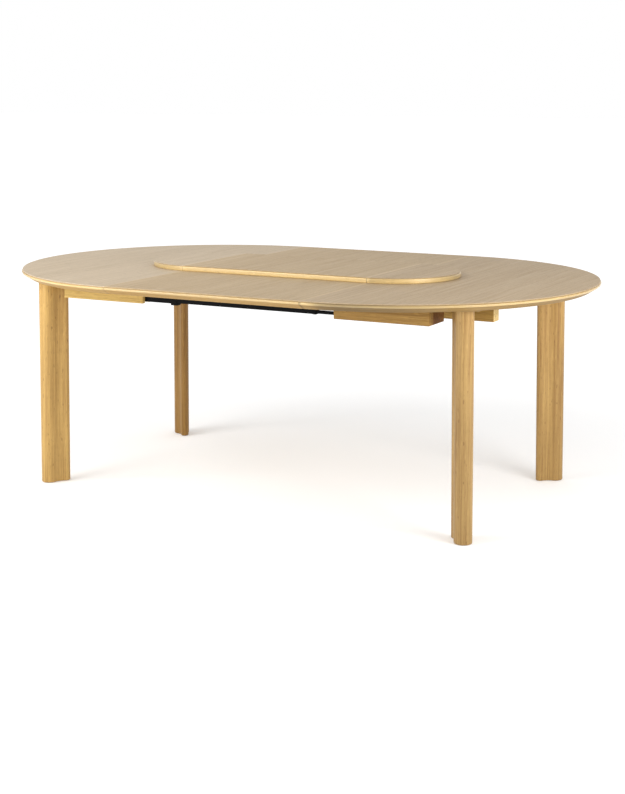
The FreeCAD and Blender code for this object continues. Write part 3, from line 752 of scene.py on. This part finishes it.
FLOOR_REACH = 60.0
FLOOR_PAINT = ((0.79, 0.79, 0.79, 1), (0.81, 0.81, 0.81, 1))
FLOOR_GRIT = (40.0, 40.0, 40.0)
FLOOR_FINISH = {"Roughness": 0.9, "Specular_IOR_Level": 0.1}
GLOW_REACH = (1.2, 3.5)
GLOW = (0.24, 0.45)
WHITE = (1, 1, 1, 1)
LIGHT_AIM = (0.0, 0.0, 0.6)
LIGHTS = {"key_light": {"position": (-2.2, -2.8, 2.6), "size": (2.4, 2.0), "power": 94},
          "right_light": {"position": (2.7, -0.9, 1.4), "size": (1.4, 1.0), "power": 44},
          "low_light": {"position": (-1.3, -2.4, 0.6), "size": (1.4, 1.0), "power": 12}}

# Strength of the surroundings, and the values of a direction's Y and Z over which it changes
SKY = {"front": 0.9, "back": 1.0, "above": 0.70}
FRONT_TO_BACK = (-0.5, 0.3)
LEVEL_TO_ABOVE = (0.2, 0.9)

# The camera, as fitted to the photographed edges
LENS = 68.137
SENSOR = 36
SHIFT = (-0.00665, -0.25)
SIGHT = 200
EYE = (2.4340, -4.5221, 1.3571)
EYE_DOWN = math.radians(4.190)
EYE_TURN = math.radians(27.713)


def floor():
    """Pale floor that runs out of sight and glows more away from the table, as a lit studio cove does."""
    mesh = bpy.data.meshes.new("floor")
    corners = [(x * FLOOR_REACH, y * FLOOR_REACH, 0) for x, y in ((-1, -1), (1, -1), (1, 1), (-1, 1))]
    mesh.from_pydata(corners, [], [(0, 1, 2, 3)])
    piece = bpy.data.objects.new("floor", mesh)
    bpy.context.scene.collection.objects.link(piece)
    make = Shader("floor_paint")
    vector = make.add("TexCoord").outputs["Object"]
    grit = make.noise(vector, FLOOR_GRIT, GRIT_DETAIL)
    paint = make.blend(grit, *FLOOR_PAINT)
    away = make.add("VectorMath", {"operation": "LENGTH"}, {0: vector}).outputs["Value"]
    glow = make.remap(away, *GLOW_REACH, *GLOW)
    mesh.materials.append(make.finish(Base_Color=paint, Emission_Color=WHITE, Emission_Strength=glow,
                                      **FLOOR_FINISH))


def area_light(name, position, size, power):
    """Soft rectangular light aimed at the table."""
    data = bpy.data.lights.new(name, "AREA")
    data.shape = "RECTANGLE"
    data.size, data.size_y = size
    data.energy = power
    lamp = bpy.data.objects.new(name, data)
    bpy.context.scene.collection.objects.link(lamp)
    lamp.location = position
    lamp.visible_camera = False
    lamp.rotation_euler = (Vector(LIGHT_AIM) - Vector(position)).to_track_quat("-Z", "Y").to_euler()


def surroundings(front, back, above):
    """White surroundings whose strength differs in front of the table, behind it and above it."""
    sky = bpy.data.worlds.new("surroundings")
    sky.use_nodes = True
    tree = sky.node_tree
    glow = tree.nodes["Background"]
    glow.inputs["Color"].default_value = WHITE
    coords = tree.nodes.new("ShaderNodeTexCoord")
    split = tree.nodes.new("ShaderNodeSeparateXYZ")
    tree.links.new(coords.outputs["Generated"], split.inputs[0])
    fades = {}
    for axis, limits in (("Y", (*FRONT_TO_BACK, front, back)), ("Z", (*LEVEL_TO_ABOVE, 0.0, 1.0))):
        fades[axis] = tree.nodes.new("ShaderNodeMapRange")
        fades[axis].interpolation_type = "SMOOTHSTEP"
        for index, value in enumerate(limits, start=1):
            fades[axis].inputs[index].default_value = value
        tree.links.new(split.outputs[axis], fades[axis].inputs[0])
    mix = tree.nodes.new("ShaderNodeMix")
    tree.links.new(fades["Z"].outputs[0], mix.inputs[0])
    tree.links.new(fades["Y"].outputs[0], mix.inputs[2])
    mix.inputs[3].default_value = above
    tree.links.new(mix.outputs[0], glow.inputs["Strength"])
    bpy.context.scene.world = sky


def camera():
    """Camera at the photograph's viewing angle."""
    data = bpy.data.cameras.new("camera")
    data.lens = LENS
    data.sensor_width = SENSOR
    data.shift_x, data.shift_y = SHIFT
    data.clip_end = SIGHT
    eye = bpy.data.objects.new("camera", data)
    bpy.context.scene.collection.objects.link(eye)
    eye.location = EYE
    eye.rotation_euler = (math.pi / 2 - EYE_DOWN, 0, EYE_TURN)
    bpy.context.scene.camera = eye


floor()
surroundings(**SKY)
for name, light in LIGHTS.items():
    area_light(name, **light)
camera()
view = bpy.context.scene.view_settings
view.view_transform = "Standard"
view.look = "None"
